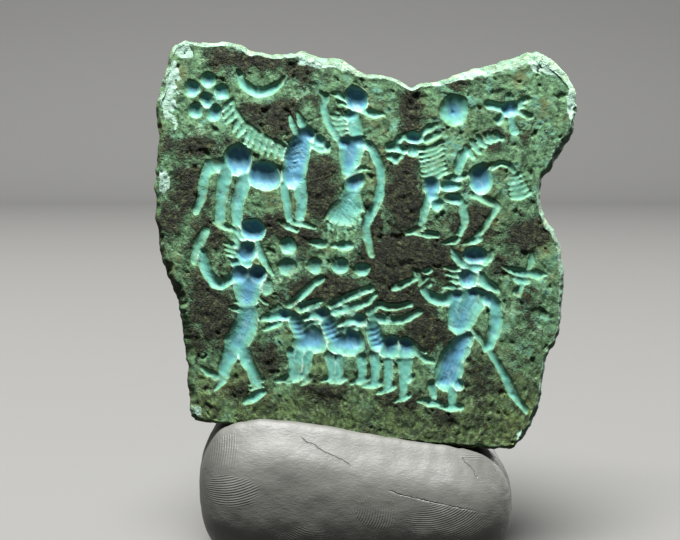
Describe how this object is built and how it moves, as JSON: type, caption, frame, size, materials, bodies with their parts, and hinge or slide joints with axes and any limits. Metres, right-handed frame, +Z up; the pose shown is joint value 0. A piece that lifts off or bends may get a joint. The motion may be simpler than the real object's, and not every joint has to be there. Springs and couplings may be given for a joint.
{
  "type": "intaglio seal stone",
  "caption": "Broken flat stone engraved in intaglio with winged beasts, striding figures and goats, propped upright in a roll of modelling clay.",
  "frame": {"origin": "middle of the bounding box at the clay roll's flat underside", "axes": "+X to the right of someone who faces the engraved side, +Y from the engraved side to the back, +Z up"},
  "size_m": [0.085, 0.031, 0.1045],
  "materials": {
    "green_stone": "worn green copper-mineral stone with a dark brown crust and smooth turquoise cuts, matt to satin",
    "grey_clay": "grey oil-based modelling clay with fingerprints, satin"
  },
  "bodies": {
    "root": {"engraved_stone": "green_stone", "clay_roll": "grey_clay"}
  },
  "joints": []
}
